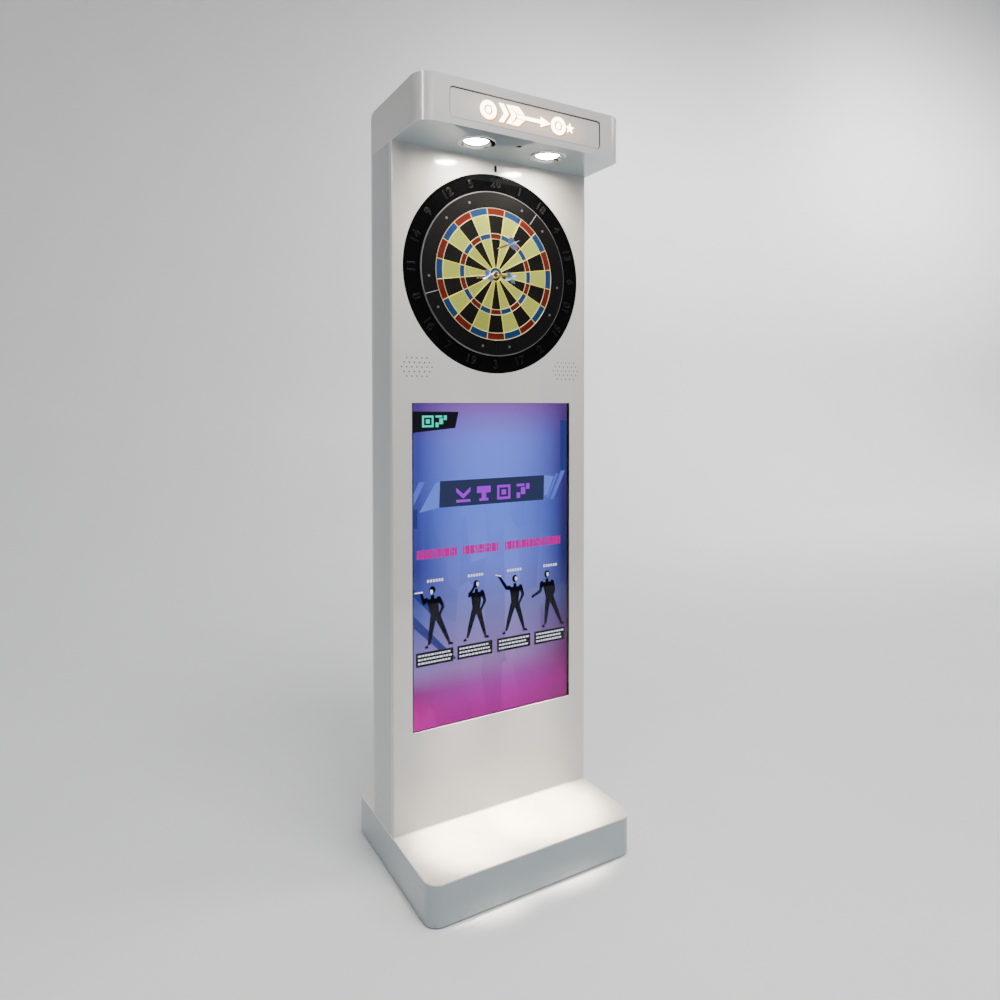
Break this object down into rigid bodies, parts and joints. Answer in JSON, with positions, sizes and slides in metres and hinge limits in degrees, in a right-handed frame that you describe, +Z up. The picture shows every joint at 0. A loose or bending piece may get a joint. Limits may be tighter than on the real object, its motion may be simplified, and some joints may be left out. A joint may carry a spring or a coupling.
{
  "type": "electronic dartboard",
  "caption": "Free-standing electronic dartboard: white cabinet with a soft-tip target, a tall screen below it, a lit canopy with downlights and a wide base.",
  "frame": {"origin": "middle of the footprint of the base, on the floor", "axes": "+Z up; -Y towards the player, square to the target's face; +X to the right of a player who faces the target"},
  "size_m": [0.66, 0.556, 2.196],
  "materials": {
    "white_paint": "gloss powder coat",
    "soffit_paint": "satin powder coat",
    "raw_steel": "blackened",
    "zinc": "zinc plated",
    "chrome": "polished",
    "sign_acrylic": "translucent, lit from behind",
    "circuit_board": "solder mask",
    "lamp_trim": "gloss",
    "lamp_lens": "lit diffuser",
    "black_plastic": "moulded",
    "black_gloss": "polished",
    "black_matte": "fine texture",
    "spider_plastic": "moulded",
    "membrane": "smooth",
    "screen_glass": "polished",
    "display": "lit screen",
    "switch_red": "moulded",
    "foot_rubber": "moulded",
    "dart_plastic": "moulded",
    "bull_blue": "moulded",
    "bull_red": "moulded",
    "segment_black": "moulded, drilled",
    "segment_cream": "moulded, drilled"
  },
  "bodies": {
    "root": {"base_shell": "white_paint", "base_top": "white_paint", "ballast_plate": "raw_steel", "front_panel": "white_paint", "left_side_panel": "white_paint", "right_side_panel": "white_paint", "rear_panel": "white_paint", "hinge_pins": "zinc", "canopy_shell": "white_paint", "canopy_soffit": "soffit_paint", "sign_face": "sign_acrylic", "sign_lamp_board": "circuit_board", "lamp_bezels": "lamp_trim", "lamp_lenses": "lamp_lens", "overhead_camera": "black_plastic", "speakers": "black_plastic", "number_ring": "black_gloss", "catch_ring": "black_matte", "catch_screws": "zinc", "spider": "spider_plastic", "sensor_membrane": "membrane", "board_housing": "black_plastic", "screen_glass": "screen_glass", "display_panel": "display", "display_rails": "zinc", "power_inlet": "black_plastic", "power_supply": "zinc", "game_controller": "black_plastic"},
    "rear_door": {"rear_door": "white_paint"},
    "cam_lock": {"cam_lock": "chrome"},
    "rocker_switch": {"rocker_switch": "switch_red"},
    "foot_front_left": {"foot_front_left": "foot_rubber"},
    "foot_front_right": {"foot_front_right": "foot_rubber"},
    "foot_rear_left": {"foot_rear_left": "foot_rubber"},
    "foot_rear_right": {"foot_rear_right": "foot_rubber"},
    "dart_1": {"dart_1": "dart_plastic"},
    "dart_2": {"dart_2": "dart_plastic"},
    "dart_3": {"dart_3": "dart_plastic"},
    "outer_bull": {"outer_bull": "bull_blue"},
    "inner_bull": {"inner_bull": "bull_red"},
    "segment_20": {"segment_20": "segment_black"},
    "segment_1": {"segment_1": "segment_cream"},
    "segment_18": {"segment_18": "segment_black"},
    "segment_4": {"segment_4": "segment_cream"},
    "segment_13": {"segment_13": "segment_black"},
    "segment_6": {"segment_6": "segment_cream"},
    "segment_10": {"segment_10": "segment_black"},
    "segment_15": {"segment_15": "segment_cream"},
    "segment_2": {"segment_2": "segment_black"},
    "segment_17": {"segment_17": "segment_cream"},
    "segment_3": {"segment_3": "segment_black"},
    "segment_19": {"segment_19": "segment_cream"},
    "segment_7": {"segment_7": "segment_black"},
    "segment_16": {"segment_16": "segment_cream"},
    "segment_8": {"segment_8": "segment_black"},
    "segment_11": {"segment_11": "segment_cream"},
    "segment_14": {"segment_14": "segment_black"},
    "segment_9": {"segment_9": "segment_cream"},
    "segment_12": {"segment_12": "segment_black"},
    "segment_5": {"segment_5": "segment_cream"}
  },
  "joints": [
    {"name": "rear_door_swing", "type": "hinge", "parent": "root", "child": "rear_door", "pos_m": [0.248, 0.1435, 0.97], "axis": [0, 0, -1], "range_deg": [0, 110]},
    {"name": "cam_lock_turn", "type": "hinge", "parent": "rear_door", "child": "cam_lock", "pos_m": [-0.2, 0.1365, 0.97], "axis": [0, -1, 0], "range_deg": [0, 90]},
    {"name": "power_switch_rock", "type": "hinge", "parent": "root", "child": "rocker_switch", "pos_m": [0.166, 0.1305, 0.27], "axis": [1, 0, 0], "range_deg": [0, 20]},
    {"name": "foot_front_left_screw_out", "type": "slide", "parent": "root", "child": "foot_front_left", "axis": [0, 0, -1], "range_m": [0, 0.012]},
    {"name": "foot_front_right_screw_out", "type": "slide", "parent": "root", "child": "foot_front_right", "axis": [0, 0, -1], "range_m": [0, 0.012]},
    {"name": "foot_rear_left_screw_out", "type": "slide", "parent": "root", "child": "foot_rear_left", "axis": [0, 0, -1], "range_m": [0, 0.012]},
    {"name": "foot_rear_right_screw_out", "type": "slide", "parent": "root", "child": "foot_rear_right", "axis": [0, 0, -1], "range_m": [0, 0.012]},
    {"name": "dart_1_pull", "type": "slide", "parent": "segment_20", "child": "dart_1", "axis": [-0.1547, -0.9844, -0.0844], "range_m": [0, 0.03]},
    {"name": "dart_2_pull", "type": "slide", "parent": "inner_bull", "child": "dart_2", "axis": [-0.1704, -0.9543, -0.2454], "range_m": [0, 0.03]},
    {"name": "dart_3_pull", "type": "slide", "parent": "segment_8", "child": "dart_3", "axis": [-0.2016, -0.9731, -0.1112], "range_m": [0, 0.03]},
    {"name": "outer_bull_press", "type": "slide", "parent": "root", "child": "outer_bull", "axis": [0, 1, 0], "range_m": [0, 0.0015], "stiffness_N_per_m": 300, "springref_m": -0.0005},
    {"name": "inner_bull_press", "type": "slide", "parent": "root", "child": "inner_bull", "axis": [0, 1, 0], "range_m": [0, 0.0015], "stiffness_N_per_m": 300, "springref_m": -0.0005},
    {"name": "segment_20_press", "type": "slide", "parent": "root", "child": "segment_20", "axis": [0, 1, 0], "range_m": [0, 0.0015], "stiffness_N_per_m": 300, "springref_m": -0.0005},
    {"name": "segment_1_press", "type": "slide", "parent": "root", "child": "segment_1", "axis": [0, 1, 0], "range_m": [0, 0.0015], "stiffness_N_per_m": 300, "springref_m": -0.0005},
    {"name": "segment_18_press", "type": "slide", "parent": "root", "child": "segment_18", "axis": [0, 1, 0], "range_m": [0, 0.0015], "stiffness_N_per_m": 300, "springref_m": -0.0005},
    {"name": "segment_4_press", "type": "slide", "parent": "root", "child": "segment_4", "axis": [0, 1, 0], "range_m": [0, 0.0015], "stiffness_N_per_m": 300, "springref_m": -0.0005},
    {"name": "segment_13_press", "type": "slide", "parent": "root", "child": "segment_13", "axis": [0, 1, 0], "range_m": [0, 0.0015], "stiffness_N_per_m": 300, "springref_m": -0.0005},
    {"name": "segment_6_press", "type": "slide", "parent": "root", "child": "segment_6", "axis": [0, 1, 0], "range_m": [0, 0.0015], "stiffness_N_per_m": 300, "springref_m": -0.0005},
    {"name": "segment_10_press", "type": "slide", "parent": "root", "child": "segment_10", "axis": [0, 1, 0], "range_m": [0, 0.0015], "stiffness_N_per_m": 300, "springref_m": -0.0005},
    {"name": "segment_15_press", "type": "slide", "parent": "root", "child": "segment_15", "axis": [0, 1, 0], "range_m": [0, 0.0015], "stiffness_N_per_m": 300, "springref_m": -0.0005},
    {"name": "segment_2_press", "type": "slide", "parent": "root", "child": "segment_2", "axis": [0, 1, 0], "range_m": [0, 0.0015], "stiffness_N_per_m": 300, "springref_m": -0.0005},
    {"name": "segment_17_press", "type": "slide", "parent": "root", "child": "segment_17", "axis": [0, 1, 0], "range_m": [0, 0.0015], "stiffness_N_per_m": 300, "springref_m": -0.0005},
    {"name": "segment_3_press", "type": "slide", "parent": "root", "child": "segment_3", "axis": [0, 1, 0], "range_m": [0, 0.0015], "stiffness_N_per_m": 300, "springref_m": -0.0005},
    {"name": "segment_19_press", "type": "slide", "parent": "root", "child": "segment_19", "axis": [0, 1, 0], "range_m": [0, 0.0015], "stiffness_N_per_m": 300, "springref_m": -0.0005},
    {"name": "segment_7_press", "type": "slide", "parent": "root", "child": "segment_7", "axis": [0, 1, 0], "range_m": [0, 0.0015], "stiffness_N_per_m": 300, "springref_m": -0.0005},
    {"name": "segment_16_press", "type": "slide", "parent": "root", "child": "segment_16", "axis": [0, 1, 0], "range_m": [0, 0.0015], "stiffness_N_per_m": 300, "springref_m": -0.0005},
    {"name": "segment_8_press", "type": "slide", "parent": "root", "child": "segment_8", "axis": [0, 1, 0], "range_m": [0, 0.0015], "stiffness_N_per_m": 300, "springref_m": -0.0005},
    {"name": "segment_11_press", "type": "slide", "parent": "root", "child": "segment_11", "axis": [0, 1, 0], "range_m": [0, 0.0015], "stiffness_N_per_m": 300, "springref_m": -0.0005},
    {"name": "segment_14_press", "type": "slide", "parent": "root", "child": "segment_14", "axis": [0, 1, 0], "range_m": [0, 0.0015], "stiffness_N_per_m": 300, "springref_m": -0.0005},
    {"name": "segment_9_press", "type": "slide", "parent": "root", "child": "segment_9", "axis": [0, 1, 0], "range_m": [0, 0.0015], "stiffness_N_per_m": 300, "springref_m": -0.0005},
    {"name": "segment_12_press", "type": "slide", "parent": "root", "child": "segment_12", "axis": [0, 1, 0], "range_m": [0, 0.0015], "stiffness_N_per_m": 300, "springref_m": -0.0005},
    {"name": "segment_5_press", "type": "slide", "parent": "root", "child": "segment_5", "axis": [0, 1, 0], "range_m": [0, 0.0015], "stiffness_N_per_m": 300, "springref_m": -0.0005}
  ]
}
